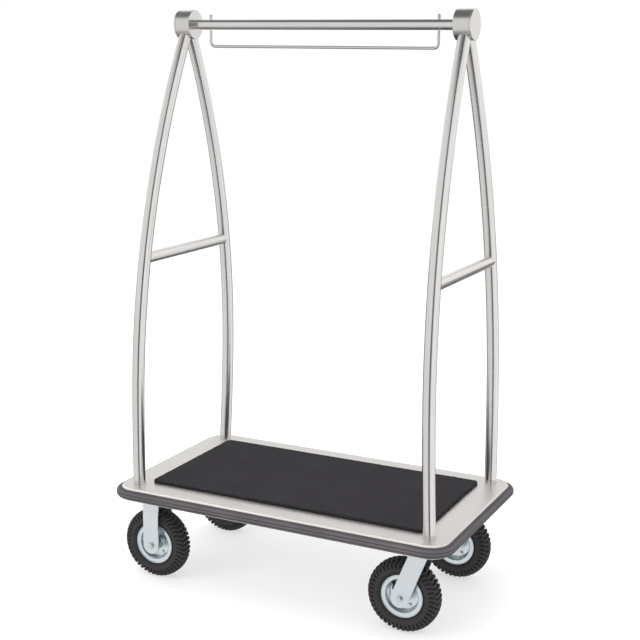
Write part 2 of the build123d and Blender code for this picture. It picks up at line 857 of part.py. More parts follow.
def swivel_fork():
    """Swivel fork: crown with a ball groove and kingpin bore, and two trailing legs."""
    half = fork_half_inside + fork_sheet
    crown = block(-crown_half_length, crown_half_length, -half, half, crown_bottom_z, crown_top_z)
    shape = fork_channel(crown_top_z) & (leg_outline(-caster_trail, crown_top_z) + crown)
    shape -= race_groove(ball_z())
    shape -= rod_z(0, 0, crown_bottom_z, crown_top_z, kingpin_radius + running_clearance)
    return shape - axle_hole(-caster_trail)


def swivel_balls():
    """Balls between the crown and the top plate."""
    ball = Pos(race_pitch_radius, 0, ball_z()) * Sphere(race_ball_radius)
    return [Rot(0, 0, 360 * i / race_ball_count) * ball for i in range(race_ball_count)]


def kingpin_hole():
    """Countersunk hole of the kingpin in the top plate."""
    cone = Cone(kingpin_radius, kingpin_head_radius, plate_thickness)
    cone = Pos(0, 0, caster_top_z - plate_thickness / 2) * cone
    return cone + rod_z(0, 0, race_bottom_z, plate_bottom_z, kingpin_radius)


def swivel_plate():
    """Top plate of a swivel caster with its upper ball race."""
    plate = drilled_plate(0, 0, plate_length, plate_width, plate_bottom_z, caster_top_z)
    race = rod_z(0, 0, race_bottom_z, plate_bottom_z, race_outer_radius)
    return plate + race - race_groove(ball_z()) - kingpin_hole()


def kingpin():
    """Kingpin riveted flush in the top plate, and the nut under the crown."""
    nut_height = 2 * kingpin_radius * nut_height_ratio
    nut_top = crown_bottom_z - kingpin_nut_gap
    pin = kingpin_hole() + rod_z(0, 0, nut_top - nut_height, race_bottom_z, kingpin_radius)
    return [pin, Pos(0, 0, nut_top - nut_height) * nut(kingpin_radius)]


# ---- write every piece --------------------------------------------------------------------

os.makedirs("parts", exist_ok=True)

board, cover = carpet_parts()
save("deck_pan", deck_pan())
save("carpet_board", board)
save("carpet_cover", cover)
save("subframe_side_rails", *side_rails())
save("subframe_cross_rails", *cross_rails())
save("caster_pads", *caster_pads())
save("caster_plate_fasteners", *caster_plate_fasteners())
save("bumper_rivets", *rivets())
save("bumper_strip", around_deck(strip_section()) - rivets())
save("bumper", around_deck(bumper_section()))

collars = []
plugs = []
bolts = []
for end_name, end in ends.items():
    save(f"end_rail_{end_name}", end_rail(end))
    save(f"hub_shell_{end_name}", hub_shell(end))
    for side_name, side in sides.items():
        save(f"upright_{end_name}_{side_name}", upright(end, side))
        plug = upright_plug(end, side)
        plugs.append(plug)
        collars.append(collar(end, side, plug))
        bolts.append(upright_bolt(end, side))
save("upright_collars", *collars)
save("upright_plugs", *plugs)
save("upright_bolts", *bolts)

save("hub_caps", *[hub_cap(end) for end in ends.values()])
save("top_bar", top_bar())
save("top_bar_plugs", *[bar_plug(end) for end in ends.values()])
save("hub_tie_bolts", *[piece for end in ends.values() for piece in tie_bolt(end)])
save("hanger_rail", hanger_rail())
save("hanger_rail_nuts", *[hanger_nut(end) for end in ends.values()])

tyre_shape = tyre()
bearing_shapes = bearing_outer_parts()
sleeve_shapes = axle_sleeve()
wheels = {}
for end_name, side_name, x, y in caster_places():
    trail = caster_trail if end_name == "right" else 0
    wheel = Pos(x - trail, y, wheel_radius)
    side = sides[side_name]
    place = f"{end_name}_{side_name}"
    wheels[place] = wheel
    save(f"tyre_{place}", wheel * tyre_shape)
    save(f"rim_outer_{place}", wheel * rim_half(side))
    save(f"rim_inner_{place}", wheel * rim_half(-side))
    save(f"rim_fasteners_{place}", *[wheel * piece for piece in rim_fasteners(side)])
    save(f"wheel_bearings_{place}", *[wheel * piece for piece in bearing_shapes])

rigid_forks = []
rigid_sleeves = []
rigid_axles = []
swivel_plates = []
kingpins = []
for side_name, side in sides.items():
    rigid_wheel = wheels[f"left_{side_name}"]
    rigid_forks.append(Pos(-caster_x, side * caster_y, 0) * rigid_fork())
    rigid_sleeves += [rigid_wheel * piece for piece in sleeve_shapes]
    rigid_axles += [rigid_wheel * piece for piece in axle_fasteners(side)]

    swivel_wheel = wheels[f"right_{side_name}"]
    plate = Pos(caster_x, side * caster_y, 0)
    swivel_plates.append(plate * swivel_plate())
    kingpins += [plate * piece for piece in kingpin()]
    save(f"swivel_fork_{side_name}", plate * swivel_fork())
    save(f"swivel_balls_{side_name}", *[plate * ball for ball in swivel_balls()])
    save(f"swivel_axle_sleeve_{side_name}", *[swivel_wheel * piece for piece in sleeve_shapes])
    save(f"swivel_axle_fasteners_{side_name}", *[swivel_wheel * piece for piece in axle_fasteners(side)])
save("rigid_forks", *rigid_forks)
save("rigid_axle_sleeves", *rigid_sleeves)
save("rigid_axle_fasteners", *rigid_axles)
save("swivel_top_plates", *swivel_plates)
save("swivel_kingpins", *kingpins)
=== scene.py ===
import math
import bmesh
import bpy
import numpy as np
from mathutils import Matrix, Vector


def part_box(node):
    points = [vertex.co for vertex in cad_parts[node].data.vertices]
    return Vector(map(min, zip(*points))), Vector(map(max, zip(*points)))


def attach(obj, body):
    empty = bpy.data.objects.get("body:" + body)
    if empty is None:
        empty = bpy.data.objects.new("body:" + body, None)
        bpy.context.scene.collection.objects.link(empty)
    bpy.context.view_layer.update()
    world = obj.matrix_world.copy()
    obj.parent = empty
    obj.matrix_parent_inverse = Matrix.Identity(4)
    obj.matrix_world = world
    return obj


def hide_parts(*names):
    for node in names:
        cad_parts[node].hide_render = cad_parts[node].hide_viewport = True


# Hotel luggage cart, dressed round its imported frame. Metres, +X towards the swivel casters,
# -Y the front long side, +Z up.
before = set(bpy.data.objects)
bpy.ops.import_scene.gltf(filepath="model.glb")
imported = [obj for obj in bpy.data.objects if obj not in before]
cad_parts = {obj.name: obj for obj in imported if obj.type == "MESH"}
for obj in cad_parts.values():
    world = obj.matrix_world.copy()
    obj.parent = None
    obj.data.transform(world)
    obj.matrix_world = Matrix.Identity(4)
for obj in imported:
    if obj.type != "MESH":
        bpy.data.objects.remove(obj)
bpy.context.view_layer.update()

# ---- tyres ------------------------------------------------------------------------------
# Pneumatic tyre on each wheel: black rubber, moulded with a ring of wavy cross blocks whose
# ends wrap over the shoulders, and two raised rings on each wall. Its beads sit in the rim.


def surface(name, points, close_rows=False, close_columns=False):
    """Mesh object through an array of points, rows by columns: each four neighbours make a face.
    A closed direction joins its last line to its first. A closed shape's faces point outwards."""
    rows, columns = points.shape[:2]
    row = np.arange(rows if close_rows else rows - 1)
    column = np.arange(columns if close_columns else columns - 1)
    r, c = np.meshgrid(row, column, indexing="ij")
    r_next, c_next = (r + 1) % rows, (c + 1) % columns
    faces = np.stack(
        [r * columns + c, r * columns + c_next, r_next * columns + c_next, r_next * columns + c], axis=-1
    ).reshape(-1, 4)
    corners = points.reshape(-1, 3)
    a, b, d = corners[faces[:, 0]], corners[faces[:, 1]], corners[faces[:, 2]]
    middle = corners.mean(0)
    if np.einsum("ij,ij->", a - middle, np.cross(b - a, d - a)) < 0:
        faces = faces[:, ::-1]
    mesh = bpy.data.meshes.new(name)
    mesh.from_pydata(corners.tolist(), [], faces.tolist())
    mesh.polygons.foreach_set("use_smooth", np.ones(len(faces), bool))
    made = bpy.data.objects.new(name, mesh)
    bpy.context.scene.collection.objects.link(made)
    return made


def step_between(x, low, high):
    """Smooth step: 0 below low, 1 above high, and 3t^2 - 2t^3 between."""
    t = np.clip((x - low) / (high - low), 0, 1)
    return t * t * (3 - 2 * t)


ends = ("left", "right")
sides = ("front", "rear")
wheel_places = [f"{end}_{side}" for end in ends for side in sides]
tyre_blocks = 44
block_fractions = np.array([0.0, 0.16, 0.21, 0.245, 0.29, 0.42, 0.58, 0.71, 0.755, 0.79, 0.84])
block_side = (0.205, 0.295)
block_wave = 0.30
wave_span = 0.9
groove_depth = 0.0074
groove_rise = 0.10
crown_edge = 0.35
shoulder_start = 0.66
shoulder_end = 0.735
wall_drop = 0.0014
wall_thickness = 0.0065
wall_ring_radii = (0.0665, 0.0795)
wall_ring_height = 0.0009
wall_ring_width = 0.0011
section_power = 2.7
section_steps = 75
section_drop = 0.0055
flange_radius = 0.062
flange_reach = 0.0198
flange_blend = 0.011
bead_radius = 0.0501
bead_reach = 0.0189
bead_toe = 0.003
inner_lean = 0.86
inner_ends = 6


def tyre_outline(lean, outer_radius, half_width):
    """Outline of the section: across and radius follow a superellipse, |a/A|^p + |r/R|^p = 1, and
    below its widest place it is drawn in to meet the rim. lean runs from -1 to 1, rim to rim."""
    centre = (outer_radius + flange_radius) / 2 - section_drop
    tall = outer_radius - centre
    low = (centre - flange_radius) / tall
    reach = math.pi / 2 + math.asin(low ** (section_power / 2))
    angle = lean * reach
    power = 2 / section_power
    across = half_width * np.sign(np.sin(angle)) * np.abs(np.sin(angle)) ** power
    radius = centre + tall * np.sign(np.cos(angle)) * np.abs(np.cos(angle)) ** power
    at_flange = half_width * math.cos(math.asin(low ** (section_power / 2))) ** power
    draw = step_between(-radius, -(flange_radius + flange_blend), -flange_radius)
    return across * (1 - draw * (1 - flange_reach / at_flange)), radius


def tyre(name, centre, outer_radius, half_width):
    """Tyre about a Y axle. Columns follow the blocks, so their edges lie along the mesh: the angle
    is 2 pi (column - wave) / blocks, with a sine wave across the tread. Between blocks the outline
    moves in along its own normal by the groove's depth."""
    lean = np.linspace(-1, 1, section_steps)
    across, radius = tyre_outline(lean, outer_radius, half_width)
    tangent = np.gradient(np.stack([across, radius], 1), axis=0)
    tangent /= np.linalg.norm(tangent, axis=1, keepdims=True)
    normal = np.stack([-tangent[:, 1], tangent[:, 0]], 1)
    on_blocks = 1 - step_between(np.abs(lean), shoulder_start, shoulder_end)
    rings = sum(np.exp(-(((radius - ring) / wall_ring_width) ** 2)) for ring in wall_ring_radii)
    fraction = np.tile(block_fractions, tyre_blocks)
    block = np.repeat(np.arange(tyre_blocks), len(block_fractions))
    block_top = 1 - step_between(np.abs(fraction - 0.5), *block_side)
    depth = groove_depth * (1 - groove_rise * step_between(np.abs(lean), crown_edge, shoulder_end))
    drop = np.outer(on_blocks * depth, 1 - block_top)
    drop += ((1 - on_blocks) * (wall_drop - wall_ring_height * rings))[:, None]
    wave = block_wave * np.sin(2 * math.pi * lean / shoulder_end * wave_span)
    angle = 2 * math.pi / tyre_blocks * ((block + fraction)[None, :] - wave[:, None])
    out_across = across[:, None] - normal[:, :1] * drop
    out_radius = radius[:, None] - normal[:, 1:] * drop
    inner_radius, inner_width = outer_radius - wall_thickness, half_width - wall_thickness
    inner_outline = tyre_outline(lean[::-1] * inner_lean, inner_radius, inner_width)
    inner_across, inner_high = (line[inner_ends:-inner_ends] for line in inner_outline)
    bead = np.array([bead_reach, bead_reach, bead_reach - wall_thickness])
    foot = np.array([flange_radius - bead_toe, bead_radius, bead_radius])
    in_across = np.concatenate([bead, inner_across, -bead[::-1]])
    in_radius = np.concatenate([foot, inner_high, foot[::-1]])
    plain = np.ones(len(fraction))
    around = 2 * math.pi / tyre_blocks * (block + fraction)
    a = np.concatenate([out_across, np.outer(in_across, plain)])
    r = np.concatenate([out_radius, np.outer(in_radius, plain)])
    t = np.concatenate([angle, np.outer(np.ones(len(in_across)), around)])
    points = np.stack([centre[0] + r * np.sin(t), centre[1] + a, centre[2] + r * np.cos(t)], -1)
    made = surface(name, points, close_rows=True, close_columns=True)
    top = np.concatenate([np.outer(on_blocks, block_top), np.zeros((len(in_across), len(plain)))])
    attribute = made.data.attributes.new("block_top", "FLOAT", "POINT")
    attribute.data.foreach_set("value", top.astype(np.float32).ravel())
    return made


def new_material(name):
    """Empty node material, with its node tree and its shader."""
    made = bpy.data.materials.new(name)
    made.use_nodes = True
    return made, made.node_tree, made.node_tree.nodes["Principled BSDF"]


def node(tree, kind, sockets=None, **settings):
    """Adds one shader node. Each socket gets a value, or is joined to another node's output."""
    made = tree.nodes.new("ShaderNode" + kind)
    for key, value in settings.items():
        setattr(made, key, value)
    for key, value in (sockets or {}).items():
        if isinstance(value, bpy.types.NodeSocket):
            tree.links.new(value, made.inputs[key])
        else:
            made.inputs[key].default_value = value
    return made


def place(tree, stretch=(1, 1, 1)):
    """Place on the object in metres, stretched along each axis."""
    where = node(tree, "TexCoord").outputs["Object"]
    return node(tree, "Mapping", {"Vector": where, "Scale": stretch}).outputs["Vector"]


def noise(tree, where, scale, detail=2.0, roughness=0.5):
    """Smooth noise from 0 to 1 with that many features in a unit of the place."""
    sockets = {"Vector": where, "Scale": scale, "Detail": detail, "Roughness": roughness}
    return node(tree, "TexNoise", sockets).outputs["Fac"]


def spread(tree, value, low, high, from_low=0.0, from_high=1.0):
    """Maps a value from one range to another, clamped at both ends."""
    sockets = {"Value": value, "From Min": from_low, "From Max": from_high, "To Min": low, "To Max": high}
    return node(tree, "MapRange", sockets).outputs["Result"]


def blend_colour(tree, share, first, second):
    """Colour between two, by a share from 0 to 1."""
    made = node(tree, "Mix", data_type="RGBA")
    for socket, value in ((made.inputs[0], share), (made.inputs[6], first), (made.inputs[7], second)):
        if isinstance(value, bpy.types.NodeSocket):
            tree.links.new(value, socket)
        else:
            socket.default_value = value
    return made.outputs[2]


def relief(tree, shader, height, distance, strength=1.0):
    """Bump on a shader from a height, whose full swing is a distance in metres."""
    bump = node(tree, "Bump", {"Height": height, "Distance": distance, "Strength": strength})
    tree.links.new(bump.outputs["Normal"], shader.inputs["Normal"])


def tyre_rubber():
    """Cured black rubber: greyer on the block tops, duller in the grooves, with fine
    mould grain all over and a faint film of dust in broad patches."""
    made, tree, shader = new_material("tyre_rubber")
    where = place(tree)
    grain = noise(tree, where, 900.0, 3.0)
    patches = noise(tree, where, 14.0, 4.0)
    top = node(tree, "Attribute", attribute_name="block_top").outputs["Fac"]
    worn = node(tree, "Math", {0: top, 1: patches}, operation="MULTIPLY").outputs[0]
    base = blend_colour(tree, patches, (0.020, 0.019, 0.021, 1), (0.032, 0.030, 0.033, 1))
    colour = blend_colour(tree, spread(tree, worn, 0.0, 0.55), base, (0.046, 0.044, 0.047, 1))
    tree.links.new(colour, shader.inputs["Base Color"])
    tree.links.new(spread(tree, grain, 0.58, 0.80), shader.inputs["Roughness"])
    relief(tree, shader, grain, 0.00025, 0.6)
    return made


tyre_finish = tyre_rubber()
for wheel_place in wheel_places:
    low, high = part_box(f"tyre_{wheel_place}")
    middle = (low + high) / 2
    made = tyre(f"block_tread_tyre_{wheel_place}", middle, (high.z - low.z) / 2, (high.y - low.y) / 2)
    made.data.materials.append(tyre_finish)
    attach(made, f"wheel_{wheel_place}")
    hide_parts(f"tyre_{wheel_place}")

# ---- rims and their bolts ---------------------------------------------------------------
# Two pressed steel halves, bolted disc to disc, with a rolled flange each. They are zinc
# plated with a bluish passivation, and the four bolts and nuts are plated the same way.


def finish(made, *names):
    """Gives one material to CAD nodes, in place of what they came with."""
    for name in names:
        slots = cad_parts[name].data.materials
        slots.clear()
        slots.append(made)


def zinc(name, light, dark, roughness, spangle):
    """Bright zinc plate: a cloudy mottle of two tones, small pits, and faint drawing lines."""
    made, tree, shader = new_material(name)
    where = place(tree)
    clouds = noise(tree, where, spangle, 4.0, 0.6)
    fine = noise(tree, where, spangle * 18, 2.0)
    colour = blend_colour(tree, spread(tree, clouds, 0.0, 1.0, 0.2, 0.8), dark, light)
    tree.links.new(colour, shader.inputs["Base Color"])
    shader.inputs["Metallic"].default_value = 1.0
    mixed = node(tree, "Math", {0: clouds, 1: fine}, operation="MULTIPLY").outputs[0]
    rough = spread(tree, mixed, roughness - 0.06, roughness + 0.10, 0.1, 0.4)
    tree.links.new(rough, shader.inputs["Roughness"])
    relief(tree, shader, fine, 0.00012, 0.35)
    return made


rim_zinc = zinc("rim_zinc", (0.82, 0.88, 0.91, 1), (0.72, 0.80, 0.84, 1), 0.24, 38.0)
bolt_zinc = zinc("bolt_zinc", (0.82, 0.85, 0.86, 1), (0.66, 0.69, 0.71, 1), 0.27, 160.0)
for wheel_place in wheel_places:
    finish(rim_zinc, f"rim_outer_{wheel_place}", f"rim_inner_{wheel_place}")
    finish(bolt_zinc, f"rim_fasteners_{wheel_place}")

# ---- valve stems ------------------------------------------------------------------------
# A rubber stem with a plated core comes out of the outer half rim of each wheel, beside the
# disc, and leans outwards so that a pump reaches it. It is screwed shut with a small cap.

stem_turn = math.radians(140)
stem_lean = math.radians(24)
stem_points = np.array([
    [0.0, 0.0], [0.0052, 0.0], [0.0056, 0.0016], [0.0040, 0.0042], [0.0036, 0.0100], [0.0034, 0.0150],
    [0.0027, 0.0154], [0.0027, 0.0166], [0.0036, 0.0168], [0.0038, 0.0176], [0.0038, 0.0234],
    [0.0031, 0.0246], [0.0, 0.0248],
])
stem_foot_radius = 0.0405
stem_foot_depth = 0.0030
pole_gap = 1e-6


def turned(name, profile, foot, axis, steps=28):
    """Shape turned about an axis: each point of the profile is a radius and a height above the
    foot. The points that meet at a pole are merged into one."""
    axis = axis / np.linalg.norm(axis)
    side = np.cross(axis, [0.0, 1.0, 0.0] if abs(axis[1]) < 0.9 else [1.0, 0.0, 0.0])
    side /= np.linalg.norm(side)
    other = np.cross(axis, side)
    t = np.linspace(0, 2 * math.pi, steps, endpoint=False)
    ring = np.outer(np.cos(t), side) + np.outer(np.sin(t), other)
    points = foot + profile[:, :1, None] * ring[None] + profile[:, 1:, None] * axis[None, None]
    made = surface(name, points, close_columns=True)
    cells = bmesh.new()
    cells.from_mesh(made.data)
    bmesh.ops.remove_doubles(cells, verts=cells.verts, dist=pole_gap)
    cells.to_mesh(made.data)
    cells.free()
    return made


def valve_rubber():
    """Moulded rubber stem and cap: black, a little glossier than the tyre, with knurl lines."""
    made, tree, shader = new_material("valve_rubber")
    grain = noise(tree, place(tree), 1400.0, 2.0)
    colour = blend_colour(tree, grain, (0.020, 0.021, 0.022, 1), (0.045, 0.046, 0.048, 1))
    tree.links.new(colour, shader.inputs["Base Color"])
    tree.links.new(spread(tree, grain, 0.38, 0.56), shader.inputs["Roughness"])
    relief(tree, shader, grain, 0.0002, 0.5)
    return made


stem_finish = valve_rubber()
for wheel_place in wheel_places:
    low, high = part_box(f"rim_outer_{wheel_place}")
    middle = (low + high) / 2
    outward = -1 if wheel_place.endswith("front") else 1
    mid_plane = high.y if outward < 0 else low.y
    radial = np.array([math.cos(stem_turn), 0.0, math.sin(stem_turn)])
    foot = np.array([middle.x, mid_plane + outward * stem_foot_depth, middle.z]) + radial * stem_foot_radius
    axis = np.array([0.0, outward * math.cos(stem_lean), 0.0]) - radial * math.sin(stem_lean)
    made = turned(f"valve_stem_{wheel_place}", stem_points, foot, axis)
    made.data.materials.append(stem_finish)
    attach(made, f"wheel_{wheel_place}")

# ---- wheel bearings, sleeves and axles --------------------------------------------------
# Two shielded ball bearings are pressed into each wheel and turn on a spacer sleeve, which
# the plated axle bolt clamps between the fork legs.


def ground_steel():
    """Ground bearing steel: turning marks as fine rings about the axle, under a film of oil."""
    made, tree, shader = new_material("ground_steel")
    marks = noise(tree, place(tree, (1, 9, 1)), 420.0, 3.0)
    stain = noise(tree, place(tree), 60.0, 3.0)
    colour = blend_colour(tree, stain, (0.50, 0.50, 0.51, 1), (0.68, 0.68, 0.69, 1))
    tree.links.new(colour, shader.inputs["Base Color"])
    shader.inputs["Metallic"].default_value = 1.0
    tree.links.new(spread(tree, marks, 0.12, 0.30), shader.inputs["Roughness"])
    return made


bearing_finish = ground_steel()
finish(bearing_finish, *[f"wheel_bearings_{wheel_place}" for wheel_place in wheel_places])
finish(bearing_finish, "rigid_axle_sleeves", "swivel_axle_sleeve_front", "swivel_axle_sleeve_rear")
finish(bearing_finish, "swivel_balls_front", "swivel_balls_rear")
finish(bolt_zinc, "rigid_axle_fasteners", "swivel_axle_fasteners_front", "swivel_axle_fasteners_rear")

# ---- forks, top plates and kingpins -----------------------------------------------------
# Five millimetre steel strap, cut, bent over and zinc plated after bending. The swivel forks
# hang from a drilled top plate on a ring of balls and a kingpin, and the rigid ones are
# welded to theirs.

fork_zinc = zinc("fork_zinc", (0.86, 0.90, 0.93, 1), (0.76, 0.81, 0.85, 1), 0.34, 22.0)
finish(fork_zinc, "rigid_forks", "swivel_fork_front", "swivel_fork_rear", "swivel_top_plates")
finish(bolt_zinc, "swivel_kingpins", "caster_plate_fasteners")

# ---- subframe ---------------------------------------------------------------------------
# Square steel tube, welded into a ladder under the tray, with a flat pad over each caster.
# It is powder coated grey after welding.


def powder_coat():
    """Grey powder coat: orange-peel skin with dull patches where dust has settled."""
    made, tree, shader = new_material("powder_coat")
    where = place(tree)
    peel = noise(tree, where, 420.0, 2.0)
    dust = noise(tree, where, 11.0, 5.0)
    colour = blend_colour(tree, dust, (0.13, 0.135, 0.14, 1), (0.20, 0.20, 0.20, 1))
    tree.links.new(colour, shader.inputs["Base Color"])
    tree.links.new(spread(tree, dust, 0.42, 0.66), shader.inputs["Roughness"])
    relief(tree, shader, peel, 0.0002, 0.5)
    return made


finish(powder_coat(), "subframe_side_rails", "subframe_cross_rails", "caster_pads")

# ---- deck tray --------------------------------------------------------------------------
# Two millimetre stainless sheet, folded down all round with a soft bend and turned in again
# at the bottom. It came from the mill brushed lengthways, and the satin still shows.


def satin_steel(name, brushing, light, dark, roughness, swing):
    """Satin stainless. brushing gives the place already stretched along the streaks, so that noise
    draws out into fine lines; broader streaks and handling smears change the tone and polish."""
    made, tree, shader = new_material(name)
    where = brushing(tree)
    fine = noise(tree, where, 1.0, 3.0, 0.6)
    broad = noise(tree, where, 0.17, 2.0)
    smear = noise(tree, place(tree), 5.0, 3.0)
    streaks = node(tree, "Math", {0: fine, 1: broad}, operation="ADD").outputs[0]
    tone = spread(tree, streaks, 0.0, 1.0, 0.65, 1.35)
    tree.links.new(blend_colour(tree, tone, dark, light), shader.inputs["Base Color"])
    shader.inputs["Metallic"].default_value = 1.0
    handled = node(tree, "Math", {0: streaks, 1: smear}, operation="ADD").outputs[0]
    rough = spread(tree, handled, roughness - swing, roughness + swing, 1.0, 2.0)
    tree.links.new(rough, shader.inputs["Roughness"])
    relief(tree, shader, streaks, 0.00004, 0.35)
    return made


def along_deck(tree):
    """Place for streaks along X."""
    return place(tree, (9.0, 1100.0, 1100.0))


def fold_highlight(made):
    """The fold and the skirt are made duller and whiter than the top, a painted highlight along the fold:
    the less upright the face, the rougher it is and the less it mirrors."""
    tree = made.node_tree
    shader = tree.nodes["Principled BSDF"]
    rolled = shader.inputs["Roughness"].links[0].from_socket
    upright_share = node(tree, "SeparateXYZ", {0: node(tree, "NewGeometry").outputs["Normal"]}).outputs[2]
    slope_roughening = spread(tree, upright_share, 0.34, 0.0, 0.86, 0.98)
    total = node(tree, "Math", {0: rolled, 1: slope_roughening}, operation="ADD").outputs[0]
    tree.links.new(total, shader.inputs["Roughness"])
    # Painted highlight: the fold and the skirt lose metal, so the white room light makes them whiter than
    # the top.
    mirrored = spread(tree, upright_share, 0.10, 0.78, 0.86, 0.98)
    tree.links.new(mirrored, shader.inputs["Metallic"])
    return made


deck_steel = satin_steel("deck_steel", along_deck, (0.73, 0.71, 0.69, 1), (0.64, 0.62, 0.60, 1), 0.36, 0.07)
finish(fold_highlight(deck_steel), "deck_pan")

# ---- bumper -----------------------------------------------------------------------------
# One length of extruded rubber round the whole tray, with a rounded nose and two shallow
# grooves. A dovetail strip of aluminium, riveted to the skirt, holds it from inside.


bumper_groove = 0.0045
bumper_middle_z = (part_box("bumper")[0].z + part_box("bumper")[1].z) / 2


def bumper_rubber():
    """Extruded rubber: dark warm grey with long faint die lines, scuffs, and a dull bloom. The two
    grooves and the top and bottom edges are darkened with painted shade."""
    made, tree, shader = new_material("bumper_rubber")
    die_lines = noise(tree, place(tree, (1.0, 1.0, 260.0)), 3.0, 3.0)
    bloom = noise(tree, place(tree), 9.0, 5.0)
    scuff = noise(tree, place(tree, (1.0, 1.0, 8.0)), 90.0, 4.0, 0.7)
    tone = node(tree, "Math", {0: die_lines, 1: bloom}, operation="MULTIPLY").outputs[0]
    faded = spread(tree, tone, 0.0, 1.0, 0.1, 0.45)
    base = blend_colour(tree, faded, (0.072, 0.065, 0.072, 1), (0.135, 0.122, 0.132, 1))
    scuffed = blend_colour(tree, spread(tree, scuff, 0.0, 0.4, 0.62, 0.85), base, (0.17, 0.16, 0.165, 1))
    height = node(tree, "SeparateXYZ", {0: place(tree)}).outputs[2]
    from_middle = node(tree, "Math", {0: height, 1: bumper_middle_z}, operation="SUBTRACT").outputs[0]
    from_middle = node(tree, "Math", {0: from_middle}, operation="ABSOLUTE").outputs[0]
    off_groove = node(tree, "Math", {0: from_middle, 1: bumper_groove}, operation="SUBTRACT").outputs[0]
    off_groove = node(tree, "Math", {0: off_groove}, operation="ABSOLUTE").outputs[0]
    # Painted shade: the colour is darkened along the two grooves and towards the top and bottom edges.
    groove_shade = spread(tree, off_groove, 0.75, 0.0, 0.0004, 0.0016)
    edge = spread(tree, from_middle, 0.0, 0.55, 0.0105, 0.0135)
    shade = node(tree, "Math", {0: groove_shade, 1: edge}, operation="MAXIMUM").outputs[0]
    colour = blend_colour(tree, shade, scuffed, (0.020, 0.018, 0.020, 1))
    tree.links.new(colour, shader.inputs["Base Color"])
    tree.links.new(spread(tree, bloom, 0.44, 0.66), shader.inputs["Roughness"])
    relief(tree, shader, die_lines, 0.00015, 0.4)
    return made


def mill_aluminium():
    """Mill-finish extruded aluminium with straight die lines."""
    made, tree, shader = new_material("mill_aluminium")
    lines = noise(tree, place(tree, (1.0, 1.0, 400.0)), 3.0, 2.0)
    colour = blend_colour(tree, lines, (0.62, 0.62, 0.63, 1), (0.80, 0.80, 0.81, 1))
    tree.links.new(colour, shader.inputs["Base Color"])
    shader.inputs["Metallic"].default_value = 1.0
    tree.links.new(spread(tree, lines, 0.28, 0.45), shader.inputs["Roughness"])
    return made


finish(bumper_rubber(), "bumper")
finish(mill_aluminium(), "bumper_strip", "bumper_rivets")

# ---- carpeted board ---------------------------------------------------------------------
# A plywood board lies loose on the tray. Charcoal needle-felt carpet is stretched over it,
# folded round the edges and glued under.

carpet_low, carpet_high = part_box("carpet_cover")
carpet_corner = 0.016
carpet_edge = 0.0034
carpet_thickness = 0.0030
carpet_cell = 0.0034
pile_height = 0.00045
pile_room = 1.6 * pile_height
edge_wander = 0.0046
deepest_wander = 0.0025
wander_cells = 1.6
pile_cells = 0.8
cloud_cells = 9.0
flat_steps = 5
arc_steps = 7
side_steps = 5


def smooth_noise(shape, cells, seed):
    """Grid of random numbers from -1 to 1, blurred over a few cells by a Gaussian in its
    frequencies."""
    rng = np.random.default_rng(seed)
    waves = np.fft.rfft2(rng.standard_normal(shape))
    fy = np.fft.fftfreq(shape[0])[:, None]
    fx = np.fft.rfftfreq(shape[1])[None, :]
    soft = np.fft.irfft2(waves * np.exp(-((fx**2 + fy**2) * (2 * math.pi * cells) ** 2) / 2), shape)
    return soft / np.abs(soft).max()


def carpet():
    """Cloth folded over the board. On a flat grid the distance m beyond the board's corner centres
    is the larger of the two overhangs; points keep their direction and go to radius m, which
    rounds the corners. m then runs over the top, round the edge on an arc, and down the side. The
    side is drawn in here and there, less than the cloth's thickness over the board's edge."""
    half_x = (carpet_high.x - carpet_low.x) / 2
    half_y = (carpet_high.y - carpet_low.y) / 2
    tall = carpet_high.z - carpet_low.z
    core_x, core_y = half_x - carpet_corner, half_y - carpet_corner
    flat = carpet_corner - carpet_edge
    arc = carpet_edge * math.pi / 2
    skirt = tall - carpet_edge
    over = np.concatenate([
        np.linspace(0, flat, flat_steps)[1:],
        flat + np.linspace(0, arc, arc_steps)[1:],
        flat + arc + np.linspace(0, skirt, side_steps)[1:],
    ])
    line_x = np.linspace(-core_x, core_x, int(2 * core_x / carpet_cell))
    line_y = np.linspace(-core_y, core_y, int(2 * core_y / carpet_cell))
    line_x = np.concatenate([-core_x - over[::-1], line_x, core_x + over])
    line_y = np.concatenate([-core_y - over[::-1], line_y, core_y + over])
    x, y = np.meshgrid(line_x, line_y, indexing="ij")
    out_x = np.sign(x) * np.maximum(np.abs(x) - core_x, 0)
    out_y = np.sign(y) * np.maximum(np.abs(y) - core_y, 0)
    m = np.maximum(np.abs(out_x), np.abs(out_y))
    turn = np.clip((m - flat) / carpet_edge, 0, math.pi / 2)
    reach = np.where(m < flat, m, flat + carpet_edge * np.sin(turn))
    down = carpet_edge * (1 - np.cos(turn)) + np.maximum(m - flat - arc, 0)
    length = np.maximum(np.hypot(out_x, out_y), 1e-9)
    wander = np.abs(edge_wander * smooth_noise(x.shape, wander_cells, 3))
    wander = np.minimum(wander, deepest_wander)
    pile = pile_height * smooth_noise(x.shape, pile_cells, 5)
    pile += 0.5 * pile_height * smooth_noise(x.shape, cloud_cells, 7)
    scale = (reach - wander * (turn > 0)) / length
    px = np.clip(x, -core_x, core_x) + out_x * scale
    py = np.clip(y, -core_y, core_y) + out_y * scale
    settle = 1 - step_between(m, flat, flat + arc)
    pz = carpet_high.z - pile_room - down * (1 - pile_room / tall) + pile * settle
    middle = (carpet_low + carpet_high) / 2
    return surface("carpet", np.stack([px + middle.x, py + middle.y, pz], -1))


